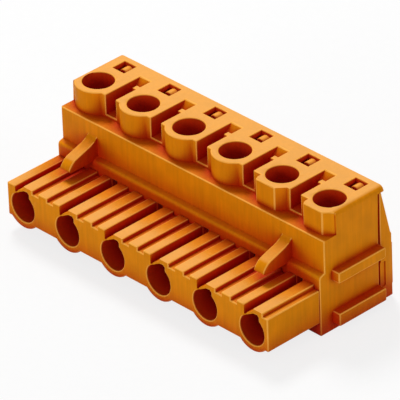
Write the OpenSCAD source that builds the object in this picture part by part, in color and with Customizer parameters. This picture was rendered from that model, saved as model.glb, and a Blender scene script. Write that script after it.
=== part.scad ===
// Pluggable terminal block: six poles, screw clamps opened from above, wires from the rear,
// and a comb of six contact openings at the front that pushes onto a matching board header.
// Frame: X along the row of poles, -Y the mating face, +Y the wire side, +Z up,
// the origin at the middle of the underside.

/* [Row] */
// Number of poles
poles = 6; // [2:1:12]
// Distance between neighbouring poles
pitch = 7.62; // [7.5:0.01:7.7]

/* [Body] */
// Height from the underside to the top face
body_h = 15.4; // [15:0.1:16]
// Overall depth from the mating face to the wire face
body_d = 20; // [19.8:0.1:20.2]
// Distance from the last pole to the end face of the body
end_margin = 2.65; // [2.6:0.01:2.7]
// Height of the screw towers above the shoulder
tower_h = 3; // [2.8:0.1:3.2]
// Width of the slots between the towers
slot_w = 1.72; // [1.5:0.01:1.9]
// Corner radius along both ends of the top face
top_round = 0.7; // [0.4:0.1:0.8]

/* [Screw access] */
// Diameter of the screwdriver hole over each screw
access_dia = 3.88; // [3.7:0.02:3.9]
// Diameter of the screw head
head_dia = 4; // [3.9:0.05:4.1]
// Outer radius of the round front of a tower
tower_r = 2.85; // [2.7:0.05:2.9]

/* [Plug comb] */
// Diameter of the contact openings
opening_dia = 3.9; // [3.8:0.02:4]
// Outer radius of the round lobes under the openings
lobe_r = 2.77; // [2.7:0.01:2.8]
// Height of the opening centres above the underside
opening_z = 3.71; // [3.6:0.01:3.8]
// Height of the three coding ribs of each pole above the underside
rib_top = 6.7; // [6.6:0.1:6.8]
// Height of the groove floors between the coding ribs
groove_floor = 6.2; // [6.1:0.1:6.3]

/* [Screw clamp] */
// Rise of the clamping cage from fully open to fully closed
cage_rise = 2.4; // [2:0.1:2.4]
// Thickness of the current bar that the cage slides over
bar_t = 0.9; // [0.8:0.1:1]

/* [Hidden] */

$fn = 64;
eps = 0.01;

body_half = (poles - 1) * pitch / 2 + end_margin;
row_half = poles * pitch / 2;
front_y = -body_d / 2;
rear_y = body_d / 2;
screw_y = front_y + 12.8;

// Side profile of the body
lower_wall_y = screw_y - 4.5;
upper_wall_y = screw_y - 3.7;
tower_y = screw_y - 1.7;
seam_y = screw_y + 5;
lip_y = screw_y + 6.05;
shoulder_z = body_h - tower_h;
ledge_z = 8.15;
lip_t = 0.68;
// Rounded nose of the ledge, as steps in from the lower wall and down from the ledge
ledge_nose = [[0, 0.63], [0.03, 0.43], [0.11, 0.28], [0.25, 0.18]];

// Clamp stack, from the underside up
cage_half = 1.95;
cage_y = [screw_y - 2.3, screw_y + 2.3];
cage_wall = 0.62;
cage_foot = [1.9, 2.9];
bar_z = 6;
cage_nut = [bar_z + bar_t + 0.05, bar_z + bar_t + 1.35];
wire_z = (cage_foot[1] + bar_z) / 2;
wire_r = 1.6;
thread_r = 1.5;

// Cavities of one pole
cell_half = cage_half + 0.1;
cell_z = [cage_foot[0] - 0.2, cage_nut[1] + cage_rise + 0.3];
pocket_z = 12.75;
inner_wall_y = screw_y - 2.7;
head_z = cell_z[1] + 0.05;
head_h = 1.6;
driver_slot = [0.7, 0.8];

// Flat tower front: the bevelled corner on its right, a small notch on its left
flat_half = 1.5;
flat_reach = 2.8;

// Comb: X spans of the ribs of one pole, counted from its opening
comb_half = body_half - 0.1;
comb_floor = 1.8;
ribs = [[0.1, 1.75], [2.75, 4.25], [5.2, 6.47]];
end_shelf = 0.7;

// Contacts and the holes in the wall that they pass through
leaf_z = [opening_z - 0.8, opening_z + 0.8];
leaf_tip_y = front_y + 2.4;
leaf_t = 0.35;
root_y = [lower_wall_y + 0.9, lower_wall_y + 1.5];
root_half = 1.25;
coding_x = [-1.15, -0.15];
coding_z = [5.5, 6.6];

// Rear cover
seam_gap = 0.3;
funnel_half = 2.4;
funnel_mouth_r = 2.3;
finger_half = 0.85;
finger_nose_r = 0.7;

// End rails
rail_y = [screw_y - 2.55, seam_y];
upper_rail_z = [6.72, 8.1];
lower_rail_z = [0.95, 2.6];

// Latch windows behind the screw holes
window_half = 0.98;
window_y = [screw_y + 3.2, screw_y + 5.22];

// Hooks over the comb, one beside the first pole and one beside the last but one
hook_w = 1.55;
hook_x = [pole_x(0) + 1.88, pole_x(poles - 2) + 3.56];
hook_under_z = 7.7;

function pole_x(i) = (i - (poles - 1) / 2) * pitch;

// Box from two opposite corners
module block(a, b) {
  translate(a) cube(b - a);
}

// A flat outline in Y and Z, run along X between two places
module along_x(x0, x1) {
  translate([x0, 0, 0]) rotate([90, 0, 90]) linear_extrude(x1 - x0) children();
}

// A flat outline in X and Z, run along Y between two places
module along_y(y0, y1) {
  translate([0, y1, 0]) rotate([90, 0, 0]) linear_extrude(y1 - y0) children();
}

// Outline of the body seen from its end
module side_outline() {
  nose = [for (step = ledge_nose) [lower_wall_y + step[0], ledge_z - step[1]]];
  polygon(concat([[lower_wall_y, 0]], nose, [
    [upper_wall_y, ledge_z], [upper_wall_y, shoulder_z], [tower_y, shoulder_z], [tower_y, body_h],
    [lip_y, body_h], [lip_y, body_h - lip_t], [seam_y, body_h - lip_t], [seam_y, 0]
  ]));
}

// Outline of the body seen from the front, with its two rounded top corners
module front_outline() {
  translate([-body_half, 0]) square([2 * body_half, body_h - top_round]);
  translate([-body_half + top_round, 0]) square([2 * (body_half - top_round), body_h]);
  for (s = [-1, 1])
    translate([s * (body_half - top_round), body_h - top_round]) circle(top_round, $fn = 32);
}

// Front of one screw tower: round, or flat with one bevelled corner on the last two
module tower_front(flat) {
  notch = 0.25;
  bevel = 0.95;
  translate([0, screw_y, shoulder_z - eps])
    if (flat)
      linear_extrude(tower_h + eps)
        polygon([
          [-flat_half - notch, -1], [-flat_half - notch, 0.6 - flat_reach], [-flat_half, -flat_reach],
          [flat_half, -flat_reach], [flat_half + bevel, bevel + 0.1 - flat_reach], [flat_half + bevel, -1]
        ]);
    else
      cylinder(r = tower_r, h = tower_h + eps);
}

// Space between two towers, with a ramp at its rear end and a small tooth on its right wall
module tower_slot() {
  floor_z = shoulder_z + 0.3;
  back_y = screw_y + 4;
  ramp = 1.6;
  tooth_w = 0.55;
  tooth_y = [screw_y + 1.6, screw_y + 2.3];
  difference() {
    along_x(-slot_w / 2, slot_w / 2)
      polygon([
        [upper_wall_y - 1, floor_z], [back_y - ramp, floor_z], [back_y - ramp, body_h - ramp],
        [back_y + 1, body_h + 1], [upper_wall_y - 1, body_h + 1]
      ]);
    block([slot_w / 2 - tooth_w, tooth_y[0], 0], [slot_w, tooth_y[1], body_h + 2]);
  }
}

// Everything cut out of the body for one pole
module pole_cavity() {
  // the holes for the spring leaves, the contact root behind them, and the latch finger
  leaf_hole = [[-1.5, lower_wall_y - 1, 2.6], [1.5, root_y[0], leaf_z[1] + 0.3]];
  root_hole = [[-1.5, root_y[0] - 0.1, 2.6], [1.5, inner_wall_y + 1, bar_z + bar_t + 0.05]];
  finger_hole = [[-1.1, window_y[0], body_h - 2.6], [1.1, rear_y, body_h - lip_t]];
  translate([0, screw_y, cell_z[1] - eps]) cylinder(d = access_dia, h = body_h);
  translate([0, screw_y, cell_z[1] - eps]) cylinder(r = head_dia / 2 + 0.12, h = pocket_z - cell_z[1]);
  block([-cell_half, inner_wall_y, cell_z[0]], [cell_half, rear_y, cell_z[1]]);
  block([-window_half, window_y[0], body_h - 1.5], [window_half, window_y[1], body_h + 1]);
  for (hole = [leaf_hole, root_hole, finger_hole])
    block(hole[0], hole[1]);
}

// Curved hook that reaches from the front wall out over the comb
module hook() {
  // distance out from the upper wall and height, from the wall down to the tip
  back = [
    [-0.3, 10.72], [0, 10.72], [0.2, 10.46], [0.5, 10.2], [1.05, 9.95], [1.95, 9.65], [3.15, 9.3],
    [3.6, 9.13], [4, 8.88], [4.35, 8.52], [4.6, 8.12]
  ];
  tip = [[4.62, 7.92], [4.48, 7.76], [4.25, hook_under_z], [-0.3, hook_under_z]];
  translate([0, upper_wall_y, 0])
    rotate([0, 0, 180]) along_x(-hook_w, 0) polygon(concat(back, tip));
}

// Two rails on an end face, which keep the pole spacing between neighbouring blocks
module end_rails(s) {
  for (z = [upper_rail_z, lower_rail_z])
    block([min(s * body_half - 0.1, s * row_half), rail_y[0], z[0]],
      [max(s * body_half + 0.1, s * row_half), rail_y[1], z[1]]);
}

// Main moulding with the screw towers, open at the rear
module housing() {
  color("#c87f10") {
    difference() {
      intersection() {
        union() {
          along_x(-body_half, body_half) side_outline();
          for (i = [0 : poles - 1])
            translate([pole_x(i), 0, 0]) tower_front(i >= poles - 2);
        }
        along_y(front_y, rear_y) front_outline();
      }
      for (i = [0 : poles - 2])
        translate([pole_x(i) + pitch / 2, 0, 0]) tower_slot();
      for (i = [0 : poles - 1])
        translate([pole_x(i), 0, 0]) {
          pole_cavity();
          coding_slot();
        }
    }
    for (x = hook_x)
      translate([x, 0, 0]) hook();
    end_rails(1);
    end_rails(-1);
  }
}

// Slot through the lower wall at the rear end of a coding groove
module coding_slot() {
  block([coding_x[0], lower_wall_y - 1, coding_z[0]], [coding_x[1], root_y[0], coding_z[1]]);
}

// Inside outline of one contact opening: a round socket with a raised roof
module opening_outline() {
  translate([0, opening_z]) circle(d = opening_dia);
  translate([0, opening_z])
    polygon([[-1.05, 0], [-1.05, 1.35], [-0.5, 1.95], [0.3, 2.38], [0.85, 2.38], [1.1, 2.15], [1.1, 0]]);
}

// Round lobe under the opening and the three ribs of one pole, cut off before the end shelf
module pole_section(i) {
  translate([pole_x(i), 0])
    intersection() {
      translate([0, opening_z]) circle(lobe_r);
      translate([-lobe_r, 0]) square([2 * lobe_r, comb_floor + 0.1]);
    }
  for (rib = ribs)
    if (pole_x(i) + rib[1] < comb_half - end_shelf)
      translate([pole_x(i) + rib[0], comb_floor]) square([rib[1] - rib[0], rib_top - comb_floor]);
}

// Deep groove beside the first rib of a pole, down to the roof of its opening
module roof_groove() {
  polygon([[-1.2, 9], [-1.2, 5.45], [-1, 5.45], [-0.6, 5.9], [0.1, 6.3], [0.3, 6.45], [0.3, 9]]);
}

// Moulded comb with the contact openings and the coding ribs
module plug_comb() {
  color("#d08a18")
    along_y(front_y, lower_wall_y - 0.02)
      difference() {
        union() {
          translate([-comb_half, comb_floor]) square([2 * comb_half, groove_floor - comb_floor]);
          for (i = [0 : poles - 1])
            pole_section(i);
        }
        for (i = [0 : poles - 1])
          translate([pole_x(i), 0]) {
            opening_outline();
            roof_groove();
          }
      }
}

// Rear cover with the wire funnels, the collars behind the cages and the latch fingers
module wire_entry_cover() {
  front = seam_y + 0.04;
  top = body_h - lip_t - 0.04;
  panel_depth = 0.12;
  color("#c87f10")
    difference() {
      union() {
        along_x(-body_half, body_half)
          polygon([
            [front, 0.2], [rear_y, 0.2], [rear_y - 0.05, 8.6], [rear_y - 0.2, 8.8],
            [rear_y - 1.6, top], [front, top]
          ]);
        for (i = [0 : poles - 1])
          translate([pole_x(i), 0, 0]) {
            block([-cell_half + 0.1, cage_y[1] + 0.2, cell_z[0] + 0.1], [cell_half - 0.1, seam_y + 1, 7.6]);
            latch_finger();
          }
      }
      for (i = [0 : poles - 1])
        translate([pole_x(i), 0, wire_z]) wire_funnel();
      for (s = [-1, 1])
        mirror([(1 - s) / 2, 0, 0]) {
          block([body_half - seam_gap, seam_y, 0], [body_half + 1, seam_y + seam_gap, body_h]);
          block([body_half - panel_depth, seam_y, lower_rail_z[1] - 0.6],
            [body_half + 1, lip_y, upper_rail_z[0] - 1.4]);
        }
    }
}

// Finger with a round nose that clips into the window of the top face
module latch_finger() {
  nose_y = window_y[1] - 1.25;
  top = body_h - 1;
  block([-finger_half, window_y[0] + 0.1, top - 1.15], [finger_half, seam_y + 1, top]);
  translate([0, nose_y, top])
    rotate([-90, 0, 0]) cylinder(r = finger_nose_r, h = window_y[1] - nose_y - 0.05);
}

// Square mouth, cone and round passage of one wire entry
module wire_funnel() {
  mouth_depth = 0.8;
  cone_y = rear_y - 2.2;
  block([-funnel_half, rear_y - mouth_depth, -funnel_half], [funnel_half, rear_y + 1, funnel_half + 0.2]);
  translate([0, cone_y, 0])
    rotate([-90, 0, 0]) cylinder(r1 = wire_r, r2 = funnel_mouth_r, h = rear_y - mouth_depth - cone_y + eps);
  translate([0, cage_y[1], 0]) rotate([-90, 0, 0]) cylinder(r = wire_r, h = rear_y - cage_y[1]);
}

// Bent contact: current bar under the screw, root plate in the wall, two spring leaves in front
module contact() {
  pinch_half = 0.4;
  pinch_y = leaf_tip_y + 1.3;
  block([-root_half, root_y[0], bar_z], [root_half, cage_y[1] + 0.15, bar_z + bar_t]);
  block([-root_half, root_y[0], leaf_z[0] - 0.1], [root_half, root_y[1], bar_z + eps]);
  for (s = [0, 1])
    mirror([s, 0, 0]) translate([0, 0, leaf_z[0]]) linear_extrude(leaf_z[1] - leaf_z[0])
      polygon([
        [root_half, root_y[1]], [root_half - leaf_t, root_y[1]], [pinch_half, pinch_y],
        [pinch_half + leaf_t, leaf_tip_y], [pinch_half + leaf_t + 0.3, leaf_tip_y],
        [pinch_half + leaf_t, pinch_y]
      ]);
}

// Rectangular cage that the screw pulls up to grip the wire against the bar
module clamping_cage() {
  inner_half = cage_half - cage_wall;
  difference() {
    block([-cage_half, cage_y[0], cage_foot[0]], [cage_half, cage_y[1], cage_nut[1]]);
    block([-inner_half, cage_y[0] - 1, cage_foot[1]], [inner_half, cage_y[1] + 1, cage_nut[0]]);
    translate([0, screw_y, cage_foot[1]]) cylinder(r = thread_r, h = cage_nut[1]);
  }
}

// Slotted clamp screw, standing on the current bar
module clamp_screw() {
  translate([0, screw_y, 0])
    difference() {
      union() {
        translate([0, 0, bar_z + bar_t + 0.02]) cylinder(r = thread_r - 0.05, h = head_z - bar_z - bar_t);
        translate([0, 0, head_z]) cylinder(d = head_dia, h = head_h);
      }
      block([-head_dia, -driver_slot[0] / 2, head_z + head_h - driver_slot[1]],
        [head_dia, driver_slot[0] / 2, head_z + head_h + 1]);
    }
}

housing();
plug_comb();
wire_entry_cover();
for (i = [0 : poles - 1]) {
  translate([pole_x(i), 0, 0]) color("#c9c4b8") contact();
  translate([pole_x(i), 0, 0]) color("#b9bcc0") clamping_cage();
  translate([pole_x(i), 0, 0]) color("#9da1a6") clamp_screw();
}
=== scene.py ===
# %% title
# Pluggable terminal block in orange moulded plastic

# %% [markdown]
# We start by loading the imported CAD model. It stays where it is and acts as
# our fixed frame: the Blender pieces are measured from it, in metres.

# %%
import math

import bmesh
import bpy
from mathutils import Matrix, Vector
from mathutils.bvhtree import BVHTree
from mathutils.geometry import intersect_point_line


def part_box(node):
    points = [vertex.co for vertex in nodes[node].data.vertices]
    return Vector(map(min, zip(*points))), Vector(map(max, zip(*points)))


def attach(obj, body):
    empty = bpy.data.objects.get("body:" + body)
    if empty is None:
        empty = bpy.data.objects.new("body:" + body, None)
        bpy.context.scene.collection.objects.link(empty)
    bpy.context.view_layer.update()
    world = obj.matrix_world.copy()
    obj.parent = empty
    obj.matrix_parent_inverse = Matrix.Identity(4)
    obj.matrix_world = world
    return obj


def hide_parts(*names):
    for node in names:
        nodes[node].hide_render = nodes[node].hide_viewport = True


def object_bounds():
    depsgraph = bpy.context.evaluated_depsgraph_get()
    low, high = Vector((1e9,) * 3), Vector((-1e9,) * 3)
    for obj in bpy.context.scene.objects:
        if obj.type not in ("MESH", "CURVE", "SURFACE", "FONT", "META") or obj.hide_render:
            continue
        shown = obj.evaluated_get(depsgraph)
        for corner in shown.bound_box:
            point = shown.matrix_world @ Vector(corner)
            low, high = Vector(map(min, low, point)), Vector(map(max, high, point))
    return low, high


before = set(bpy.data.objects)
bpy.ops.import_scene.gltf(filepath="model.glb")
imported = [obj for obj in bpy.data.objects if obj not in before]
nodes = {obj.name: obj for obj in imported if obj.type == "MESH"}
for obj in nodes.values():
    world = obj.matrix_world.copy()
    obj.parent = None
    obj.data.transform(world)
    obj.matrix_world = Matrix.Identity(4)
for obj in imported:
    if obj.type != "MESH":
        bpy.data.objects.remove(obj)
cad_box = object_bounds()
MM = 0.001
print("CAD box in mm", [[round(c / MM, 2) for c in corner] for corner in cad_box])

# %% [markdown]
# The camera comes first. A small product is usually shown through a long lens
# from a fair distance, which keeps parallel edges nearly parallel. A lens of
# 520 mm at 0.66 m gives that flat, catalogue-like view, and a slight roll sets
# the row of poles on its diagonal.

# %%
CAMERA_LENS_MM = 520.1
CAMERA_SENSOR_MM = 36
CAMERA_DISTANCE = 0.664
azimuth, elevation, roll = (math.radians(a) for a in (47.01, 32.05, 2.19))
aim = Vector((1.61, -0.96, 9.42)) * MM

to_camera = Vector((
    math.sin(azimuth) * math.cos(elevation),
    -math.cos(azimuth) * math.cos(elevation),
    math.sin(elevation)))
level_right = Vector((math.cos(azimuth), math.sin(azimuth), 0))
level_up = to_camera.cross(level_right)
camera_right = math.cos(roll) * level_right - math.sin(roll) * level_up
camera_up = math.sin(roll) * level_right + math.cos(roll) * level_up

camera_data = bpy.data.cameras.new("catalogue_camera")
camera_data.lens = CAMERA_LENS_MM
camera_data.sensor_width = CAMERA_SENSOR_MM
camera_data.clip_start = 0.01
camera = bpy.data.objects.new("catalogue_camera", camera_data)
turn = Matrix((camera_right, camera_up, to_camera)).transposed()
camera.matrix_world = Matrix.Translation(aim + to_camera * CAMERA_DISTANCE) @ turn.to_4x4()
bpy.context.collection.objects.link(camera)
bpy.context.scene.camera = camera
print("camera at", [round(c, 3) for c in camera.location])

# %% [markdown]
# A material is a small network of nodes. A few helpers keep the code short: one
# adds a node and fills in its settings, one makes a material with nothing in it
# but an output, and the others read a noise, map a value onto a new range, mix
# two colours and multiply. All patterns read Object coordinates, so that their
# scale is real: a Noise Texture of scale 1000 has spots of 1 mm.

# %%
def add(tree, kind, values=None, **settings):
    """A node of this kind, its settings and its unlinked input values."""
    node = tree.nodes.new(kind)
    for name, value in settings.items():
        setattr(node, name, value)
    for name, value in (values or {}).items():
        node.inputs[name].default_value = value
    return node


def new_material(name):
    """An empty material: the material, its node tree and its output node."""
    material = bpy.data.materials.new(name)
    material.use_nodes = True
    tree = material.node_tree
    tree.nodes.clear()
    return material, tree, tree.nodes.new("ShaderNodeOutputMaterial")


def noise(tree, place, scale, detail, roughness=0.5):
    """The value output of a Noise Texture read at place."""
    node = add(
        tree, "ShaderNodeTexNoise", {"Scale": scale, "Detail": detail, "Roughness": roughness})
    tree.links.new(place, node.inputs["Vector"])
    return node.outputs["Fac"]


def remap(tree, value, from_low, from_high, low=0.0, high=1.0):
    """The value output mapped from one range onto another, and held inside it."""
    node = add(tree, "ShaderNodeMapRange", {
        "From Min": from_low, "From Max": from_high, "To Min": low, "To Max": high})
    tree.links.new(value, node.inputs["Value"])
    return node.outputs["Result"]


def spread(tree, value, low, high):
    """A noise value mapped from its usual 0.3 to 0.7 onto low to high."""
    return remap(tree, value, 0.3, 0.7, low, high)


def stretched(tree, place, scale):
    """The place coordinates scaled, which draws a pattern out where scale is small."""
    node = add(tree, "ShaderNodeMapping", {"Scale": scale})
    tree.links.new(place, node.inputs["Vector"])
    return node.outputs["Vector"]


def mix_colours(tree, factor, first, second):
    """A colour that goes from first, a colour or an output, to the colour second."""
    node = add(tree, "ShaderNodeMix", data_type="RGBA")
    tree.links.new(factor, node.inputs["Factor"])
    if isinstance(first, tuple):
        node.inputs[6].default_value = (*first, 1)
    else:
        tree.links.new(first, node.inputs[6])
    node.inputs[7].default_value = (*second, 1)
    return node.outputs[2]


def times(tree, value, other):
    """The product of two outputs, or of an output and a number."""
    node = add(tree, "ShaderNodeMath", operation="MULTIPLY")
    tree.links.new(value, node.inputs[0])
    if isinstance(other, float):
        node.inputs[1].default_value = other
    else:
        tree.links.new(other, node.inputs[1])
    return node.outputs[0]


print("helpers ready for materials")

# %% [markdown]
# The mouldings are glass-filled polyamide, dyed orange all through. The dye
# soaks up green and blue faster than red, so light that has bounced in a corner
# or gone through a thin wall comes out redder, and every groove looks deep red.
# A render needs many bounces for that, so here that shade is painted: an Ambient
# Occlusion node finds the corners and a Color Ramp paints them from orange to
# deep red. The glass fibres leave faint upright streaks where the melt ran up
# the walls. Two places get painted light: the open upward faces get a pale
# painted sheen, and the sharp outer edges a pale painted highlight. The pieces
# made below carry those edges as a face attribute.

# %%
SHADE_PAINT_REACH = 6.5 * MM
SHADE_PAINT_SAMPLES = 12
# Painted shade: colour of the plastic from the deepest corner, 0, to an open face, 1
PAINTED_SHADE_COLOURS = (
    (0.0, (0.44, 0.009, 0.002)),
    (0.12, (0.60, 0.026, 0.003)),
    (0.35, (0.50, 0.030, 0.002)),
    (0.6, (0.53, 0.062, 0.002)),
    (0.85, (0.67, 0.165, 0.002)),
    (1.0, (0.74, 0.24, 0.002)))
STREAK_SCALE, STREAK_STRETCH = 2600, (1, 1, 0.06)
CLOUD_SCALE = 420
# Painted sheen on the open upward faces: its share and its colour
TOP_SHEEN_SHARE, TOP_SHEEN_COLOUR = 0.45, (0.98, 0.56, 0.18)
# Painted highlight on the bevelled rims: its share and its colour
RIM_HIGHLIGHT_SHARE, RIM_HIGHLIGHT_COLOUR = 0.72, (1.0, 0.47, 0.08)


def painted_shade_colour(tree, shade_depth):
    """The painted shade of the plastic at this depth, where 0 is the deepest corner."""
    ramp = add(tree, "ShaderNodeValToRGB")
    tree.links.new(shade_depth, ramp.inputs["Fac"])
    stops = ramp.color_ramp.elements
    ends = (PAINTED_SHADE_COLOURS[0], PAINTED_SHADE_COLOURS[-1])
    for stop, (position, colour) in zip((stops[0], stops[1]), ends):
        stop.position, stop.color = position, (*colour, 1)
    for position, colour in PAINTED_SHADE_COLOURS[1:-1]:
        stops.new(position).color = (*colour, 1)
    return ramp.outputs["Color"]


def clouds_and_streaks(tree, place):
    """A brightness near 1 that varies in soft clouds and upright streaks."""
    drawn_up = stretched(tree, place, STREAK_STRETCH)
    streaks = spread(tree, noise(tree, drawn_up, STREAK_SCALE, 2), 0.93, 1.05)
    clouds = spread(tree, noise(tree, place, CLOUD_SCALE, 3), 0.92, 1.04)
    return times(tree, clouds, streaks)


def painted_top_sheen(tree, openness):
    """The share of painted sheen, which lies where a face looks up and nothing covers it."""
    facing = add(tree, "ShaderNodeSeparateXYZ")
    tree.links.new(add(tree, "ShaderNodeNewGeometry").outputs["Normal"], facing.inputs["Vector"])
    upward = remap(tree, facing.outputs["Z"], 0.8, 1.0)
    return times(tree, times(tree, upward, remap(tree, openness, 0.90, 1.0)), TOP_SHEEN_SHARE)


def colour_with_painted_light(tree, place):
    """The plastic's colour: cloudy orange, with painted shade in the corners, a painted sheen on
    top and painted highlights on the rims.
    """
    # Painted shade: Ambient Occlusion finds the corners, and the ramp darkens them to deep red
    shade_finder = add(
        tree, "ShaderNodeAmbientOcclusion", {"Distance": SHADE_PAINT_REACH}, samples=SHADE_PAINT_SAMPLES)
    openness = shade_finder.outputs["AO"]
    shade_depth = remap(tree, openness, 0.22, 0.86)
    cloudy = add(tree, "ShaderNodeVectorMath", operation="SCALE")
    tree.links.new(painted_shade_colour(tree, shade_depth), cloudy.inputs[0])
    tree.links.new(clouds_and_streaks(tree, place), cloudy.inputs["Scale"])
    # Painted sheen: open upward faces are mixed towards a pale colour
    sheened = mix_colours(
        tree, painted_top_sheen(tree, openness), cloudy.outputs["Vector"], TOP_SHEEN_COLOUR)
    # Painted highlight on the bevelled rims, weaker where the painted shade is deep
    rim_highlight = add(tree, "ShaderNodeAttribute", attribute_name="rim_highlight")
    rim_glint = times(tree, times(tree, rim_highlight.outputs["Fac"], shade_depth), RIM_HIGHLIGHT_SHARE)
    return mix_colours(tree, rim_glint, sheened, RIM_HIGHLIGHT_COLOUR)


print("plastic goes through", len(PAINTED_SHADE_COLOURS), "colours from corner to open face")

# %% [markdown]
# The tool's spark-eroded cavity leaves a fine even grain on the skin. It is a
# bump made from small noise, and the same noise varies the gloss.

# %%
def moulded_plastic():
    """The orange plastic of all three mouldings."""
    material, tree, out = new_material("orange_polyamide")
    place = add(tree, "ShaderNodeTexCoord").outputs["Object"]
    grain = noise(tree, place, 5200, 2)
    skin = add(tree, "ShaderNodeBump", {"Strength": 0.2, "Distance": 0.04 * MM})
    tree.links.new(grain, skin.inputs["Height"])
    shader = add(tree, "ShaderNodeBsdfPrincipled", {"Specular IOR Level": 0.03, "IOR": 1.5})
    tree.links.new(colour_with_painted_light(tree, place), shader.inputs["Base Color"])
    tree.links.new(spread(tree, grain, 0.38, 0.52), shader.inputs["Roughness"])
    tree.links.new(skin.outputs["Normal"], shader.inputs["Normal"])
    tree.links.new(shader.outputs["BSDF"], out.inputs["Surface"])
    return material


plastic = moulded_plastic()
print(plastic.name, "has", len(plastic.node_tree.nodes), "nodes")

# %% [markdown]
# The metal is inside: zinc-plated steel for screws and cages, tinned copper for
# the contacts. A metal is told from a grey plastic by its reflections, so the
# detail goes into roughness: streaks along the stamping direction and a
# slightly uneven plating.

# %%
def plated_metal(name, dull, bright, roughness, streak):
    """A brushed metal between two colours, with streaks drawn out by the streak scale."""
    material, tree, out = new_material(name)
    place = add(tree, "ShaderNodeTexCoord").outputs["Object"]
    brushed = noise(tree, stretched(tree, place, streak), 2200, 4, 0.6)
    patchy = noise(tree, place, 700, 3)
    skin = add(tree, "ShaderNodeBump", {"Strength": 0.25, "Distance": 0.01 * MM})
    tree.links.new(brushed, skin.inputs["Height"])
    metal = add(tree, "ShaderNodeBsdfPrincipled", {"Metallic": 1.0})
    colour = mix_colours(tree, spread(tree, patchy, 0, 1), dull, bright)
    tree.links.new(colour, metal.inputs["Base Color"])
    tree.links.new(spread(tree, brushed, *roughness), metal.inputs["Roughness"])
    tree.links.new(skin.outputs["Normal"], metal.inputs["Normal"])
    tree.links.new(metal.outputs["BSDF"], out.inputs["Surface"])
    return material


screw_steel = plated_metal(
    "zinc_plated_screw", dull=(0.42, 0.42, 0.43), bright=(0.62, 0.62, 0.63),
    roughness=(0.24, 0.42), streak=(1, 1, 0.15))
cage_steel = plated_metal(
    "stamped_cage_steel", dull=(0.48, 0.48, 0.48), bright=(0.66, 0.65, 0.63),
    roughness=(0.28, 0.46), streak=(1, 0.12, 1))
tinned_copper = plated_metal(
    "tinned_copper", dull=(0.62, 0.58, 0.52), bright=(0.78, 0.75, 0.70),
    roughness=(0.2, 0.36), streak=(1, 0.1, 1))
print("metals", [m.name for m in (screw_steel, cage_steel, tinned_copper)])

# %% [markdown]
# Every CAD node gets its material here. The nodes of one kind share a name and
# end in a number, so the number is cut off to find the finish of the family.
# Only the material changes: the meshes stay as they were packed.

# %%
finishes = {
    "housing": plastic, "plug_comb": plastic, "wire_entry_cover": plastic,
    "contact": tinned_copper, "clamping_cage": cage_steel, "clamp_screw": screw_steel}
for name, node_object in nodes.items():
    family = name.rstrip("0123456789").rstrip("_")
    node_object.data.materials.clear()
    node_object.data.materials.append(finishes[family])
print("finished", len(nodes), "CAD nodes")

# %% [markdown]
# No moulded edge is truly sharp: the tool has a small radius everywhere, and
# these thin bright lines are what makes a render look real. Each moulding is a
# copy of its CAD node with the outer edges bevelled. A bevel needs clean faces,
# so the loose triangles are merged and the flat ones joined. A face with a hole
# in it can't be one polygon, and an odd cut from the hole to the border would
# fold the bevel, so the copy is first cut straight through the middle of each
# pole and each end rail, where the cuts meet every rim squarely.

# %%
WELD_DISTANCE = 0.03 * MM
CUT_TOLERANCE = 0.02 * MM
FLAT_ANGLE = math.radians(5)
RAIL_HEIGHTS = (1.78 * MM, 7.41 * MM)


def centre(node):
    """The middle of the node's box."""
    low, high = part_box(node)
    return (low + high) / 2


def clean_copy(node, cuts):
    """The node's mesh with whole flat faces, divided only along the cuts."""
    shape = bmesh.new()
    shape.from_mesh(nodes[node].data)
    bmesh.ops.remove_doubles(shape, verts=shape.verts, dist=WELD_DISTANCE)
    for place, normal in cuts:
        everything = shape.verts[:] + shape.edges[:] + shape.faces[:]
        cut = bmesh.ops.bisect_plane(
            shape, geom=everything, dist=CUT_TOLERANCE, plane_co=place, plane_no=normal)
        for part in cut["geom_cut"]:
            if isinstance(part, bmesh.types.BMEdge):
                part.seam = True
    bmesh.ops.dissolve_limit(
        shape, angle_limit=FLAT_ANGLE, verts=shape.verts, edges=shape.edges, delimit={"SEAM"})
    return shape


poles = range(1, 7)
pole_cuts = [(centre(f"clamp_screw_{i}"), (1, 0, 0)) for i in poles]
rail_cuts = [((0, 0, height), (0, 0, 1)) for height in RAIL_HEIGHTS]
print("pole cuts at x in mm", [round(place.x / MM, 2) for place, _ in pole_cuts])

# %% [markdown]
# A bevel folds over where it has no room, and black spots show up there. So an
# edge is left sharp if another edge of its own face lies too close on the inner
# side, or if it ends beside a very short edge. Edges deep inside the clamp
# cells and edges that face another wall are never seen, and stay sharp too.

# %%
SHARP_ANGLE = math.radians(28)
# Room that a bevel needs, in bevel widths: to the next edge, and beside its end
FACE_ROOM = 2.3
END_ROOM = 1.6
# Cosines above which an edge lies on the inner side, and is no longer a turn
INNER_SIDE = 0.5
STRAIGHT_ON = 0.8
FREE_WAY = 6 * MM
RAY_OFFSET = 0.02 * MM


def direction(edge):
    """The unit vector along the edge."""
    return (edge.verts[1].co - edge.verts[0].co).normalized()


def near_point(place, edge):
    """The point of the edge that is nearest to place."""
    start, end = (vert.co for vert in edge.verts)
    share = intersect_point_line(place, start, end)[1]
    return start.lerp(end, min(1, max(0, share)))


def has_wide_faces(edge, width):
    """True if no other edge of its two faces lies within both bevels' reach."""
    start, end = (vert.co for vert in edge.verts)
    for loop in edge.link_loops:
        along = loop.link_loop_next.vert.co - loop.vert.co
        inward = loop.face.normal.cross(along).normalized()
        for other in loop.face.edges:
            if set(other.verts) & set(edge.verts):
                continue
            for share in (0.1, 0.5, 0.9):
                place = start.lerp(end, share)
                away = near_point(place, other) - place
                is_near = away.length < FACE_ROOM * width
                if is_near and away.dot(inward) > INNER_SIDE * away.length:
                    return False
    return True


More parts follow.
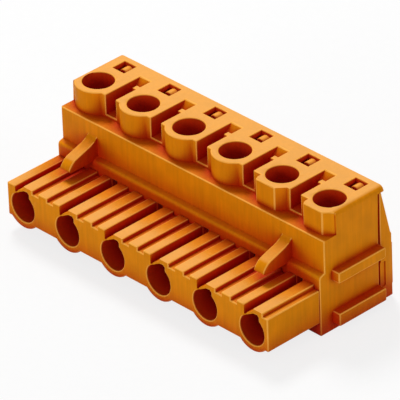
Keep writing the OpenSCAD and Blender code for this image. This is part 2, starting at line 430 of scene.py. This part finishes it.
def has_free_ends(edge, width):
    """True if no very short edge of its faces turns off at its ends."""
    for vert in edge.verts:
        for other in vert.link_edges:
            beside = other is not edge and set(other.link_faces) & set(edge.link_faces)
            turns = abs(direction(other).dot(direction(edge))) < STRAIGHT_ON
            if beside and turns and other.calc_length() < END_ROOM * width:
                return False
    return True


def clamp_cell(i):
    """The corners of the box round the cage and the screw of one pole."""
    low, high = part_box(f"clamping_cage_{i}")
    screw_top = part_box(f"clamp_screw_{i}")[1].z
    return low - Vector((MM, MM, 0)), Vector((high.x + MM, high.y + MM, screw_top))


cells = [clamp_cell(i) for i in poles]


def is_outside(edge, surface):
    """True if the way out from the edge is free and it isn't in a clamp cell."""
    middle = (edge.verts[0].co + edge.verts[1].co) / 2
    for low, high in cells:
        if all(low[k] < middle[k] < high[k] for k in range(3)):
            return False
    way = (edge.link_faces[0].normal + edge.link_faces[1].normal).normalized()
    return surface.ray_cast(middle + way * RAY_OFFSET, way, FREE_WAY)[0] is None


def outer_edges(shape, width):
    """The convex outside edges that have room for a bevel of this width."""
    surface = BVHTree.FromBMesh(shape)
    return [
        edge for edge in shape.edges
        if edge.is_manifold and edge.calc_face_angle_signed() > SHARP_ANGLE
        and has_free_ends(edge, width) and has_wide_faces(edge, width)
        and is_outside(edge, surface)]


print("clamp cells to leave sharp:", len(cells))

# %% [markdown]
# The bevelled faces are marked with an attribute, which the plastic reads to
# paint a pale highlight on them, and the finished copy replaces its CAD node on
# the same body. The small latch noses in the windows of the top get a painted
# highlight as well, over their whole upper side.

# %%
EDGE_WIDTH = 0.13 * MM
SMOOTH_ANGLE = math.radians(50)
NOSE_HEIGHTS = (14.75 * MM, 15.2 * MM)
# Strength of the painted highlight on the upper side of the latch noses
NOSE_HIGHLIGHT = 0.6
NOSE_FACES_UP = 0.3


def moulding(name, node, cuts, highlighted_heights=None):
    """A copy of the node with its outer edges rounded, which replaces the node.

    Upward faces between the two heights in the last argument get a painted highlight like a rim.
    """
    shape = clean_copy(node, cuts)
    rim_highlight = shape.faces.layers.float.new("rim_highlight")
    rounded = bmesh.ops.bevel(
        shape, geom=outer_edges(shape, EDGE_WIDTH), offset=EDGE_WIDTH, offset_type="OFFSET",
        segments=2, profile=0.5, affect="EDGES", clamp_overlap=False, material=-1)
    # The bevelled faces carry the painted rim highlight
    for face in rounded["faces"]:
        face[rim_highlight] = 1
    # The upper side of the latch noses carries a painted highlight
    if highlighted_heights:
        for face in shape.faces:
            height = face.calc_center_median().z
            if face.normal.z > NOSE_FACES_UP and highlighted_heights[0] < height < highlighted_heights[1]:
                face[rim_highlight] = NOSE_HIGHLIGHT
    bmesh.ops.triangulate(shape, faces=shape.faces)
    for face in shape.faces:
        face.smooth = True
    for edge in shape.edges:
        edge.smooth = edge.is_manifold and edge.calc_face_angle() < SMOOTH_ANGLE
    mesh = bpy.data.meshes.new(name)
    shape.to_mesh(mesh)
    shape.free()
    piece = bpy.data.objects.new(name, mesh)
    mesh.materials.append(plastic)
    bpy.context.collection.objects.link(piece)
    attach(piece, "block")
    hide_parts(node)
    print(name, len(mesh.polygons), "triangles,", len(rounded["faces"]), "rim faces")
    return piece


mouldings = [
    moulding("tower_housing", "housing", pole_cuts + rail_cuts),
    moulding("contact_comb", "plug_comb", pole_cuts),
    moulding("wire_cover", "wire_entry_cover", pole_cuts + rail_cuts, highlighted_heights=NOSE_HEIGHTS)]

# %% [markdown]
# Smooth shading would bend the light across the large flat faces. Weighting
# each normal by the area of its faces keeps them flat and lets only the thin
# rims turn, and the normals are stored in the mesh.

# %%
FULL_AREA_WEIGHT = 100


def flatten_large_faces(piece):
    """Stores normals weighted by face area, split where the mesh is sharp."""
    weighting = piece.modifiers.new("weighting", "WEIGHTED_NORMAL")
    weighting.keep_sharp = True
    weighting.weight = FULL_AREA_WEIGHT
    depsgraph = bpy.context.evaluated_depsgraph_get()
    normals = [tuple(c.vector) for c in piece.evaluated_get(depsgraph).data.corner_normals]
    piece.modifiers.remove(weighting)
    piece.data.normals_split_custom_set(normals)
    print(piece.name, "stores", len(normals), "corner normals")


for piece in mouldings:
    flatten_large_faces(piece)

# %% [markdown]
# The stage is a plain white sweep. The floor is a real white surface, so that
# the object's shadow falls on it, and for the camera it is mixed with plain
# white emission, which lets the shadow stay soft and the background stay clean.
# A Light Path node tells which rays come from the camera or from a reflection.

# %%
FLOOR_HALF_SIZE = 1.5
FLOOR_GAP = 0.02 * MM
FLOOR_GLOW_SHARE = 0.8


def seen_rays(tree):
    """1 for rays from the camera and from reflections, and 0 for all others."""
    path = add(tree, "ShaderNodeLightPath")
    either = add(tree, "ShaderNodeMath", operation="MAXIMUM")
    tree.links.new(path.outputs["Is Camera Ray"], either.inputs[0])
    tree.links.new(path.outputs["Is Glossy Ray"], either.inputs[1])
    return either.outputs[0]


def mix_shaders(tree, share, first, second):
    """The shader output that goes from first to second with share."""
    mix = add(tree, "ShaderNodeMixShader")
    tree.links.new(share, mix.inputs["Fac"])
    tree.links.new(first, mix.inputs[1])
    tree.links.new(second, mix.inputs[2])
    return mix.outputs["Shader"]


def white_floor():
    """Matte white with a faint paper pattern, which glows for the camera."""
    material, tree, out = new_material("white_floor")
    place = add(tree, "ShaderNodeTexCoord").outputs["Object"]
    paper = spread(tree, noise(tree, place, 900, 2), 0, 1)
    matte = add(tree, "ShaderNodeBsdfDiffuse")
    colour = mix_colours(tree, paper, (0.80, 0.80, 0.80), (0.83, 0.83, 0.83))
    tree.links.new(colour, matte.inputs["Color"])
    glow = add(tree, "ShaderNodeEmission", {"Strength": 1.0})
    share = times(tree, seen_rays(tree), FLOOR_GLOW_SHARE)
    surface = mix_shaders(tree, share, matte.outputs["BSDF"], glow.outputs["Emission"])
    tree.links.new(surface, out.inputs["Surface"])
    return material


floor_mesh = bpy.data.meshes.new("floor")
shape = bmesh.new()
bmesh.ops.create_grid(shape, x_segments=1, y_segments=1, size=FLOOR_HALF_SIZE)
shape.to_mesh(floor_mesh)
shape.free()
floor = bpy.data.objects.new("floor", floor_mesh)
floor.location.z = cad_box[0][2] - FLOOR_GAP
floor.data.materials.append(white_floor())
bpy.context.collection.objects.link(floor)
print("floor is", 2 * FLOOR_HALF_SIZE, "m wide")

# %% [markdown]
# The world is white too. The camera and the reflections see it as full white,
# but it lights the object with only a third of that, so that the lamps shape
# the form and the grooves stay deep.

# %%
SKY_STRENGTH = 0.32
WHITE = (1, 1, 1, 1)

world = bpy.data.worlds.new("white_studio")
world.use_nodes = True
tree = world.node_tree
tree.nodes.clear()
sky = add(tree, "ShaderNodeBackground", {"Color": WHITE, "Strength": SKY_STRENGTH})
backdrop = add(tree, "ShaderNodeBackground", {"Color": WHITE, "Strength": 1.0})
surface = mix_shaders(
    tree, seen_rays(tree), sky.outputs["Background"], backdrop.outputs["Background"])
tree.links.new(surface, add(tree, "ShaderNodeOutputWorld").inputs["Surface"])
bpy.context.scene.world = world
print("world lights with", SKY_STRENGTH, "of the white that is seen")

# %% [markdown]
# Three soft round lamps light the object. The main one hangs high at the rear
# left and brightens the top, while the fronts of the towers and the ribs shade
# to deep red. A weaker one in front lifts the front walls, and the weakest one
# shows the end face on the right.

# %%
LAMP_DISTANCE = 0.5


def soft_lamp(name, direction, size, power):
    """A round area lamp that looks at the object from this direction."""
    data = bpy.data.lights.new(name, "AREA")
    data.shape = "DISK"
    data.size = size
    data.energy = power
    lamp = bpy.data.objects.new(name, data)
    away = Vector(direction).normalized()
    lamp.location = away * LAMP_DISTANCE + aim
    lamp.rotation_euler = away.to_track_quat("Z", "Y").to_euler()
    bpy.context.collection.objects.link(lamp)
    print(name, "of", power, "W and", size, "m")


soft_lamp("main_lamp", (-0.60, 0.35, 1.0), size=0.16, power=2.0)
soft_lamp("front_lamp", (0.1, -1.0, 0.30), size=0.20, power=0.66)
soft_lamp("end_lamp", (1.0, 0.3, 0.35), size=0.20, power=0.40)
bpy.context.scene.view_settings.view_transform = "Standard"
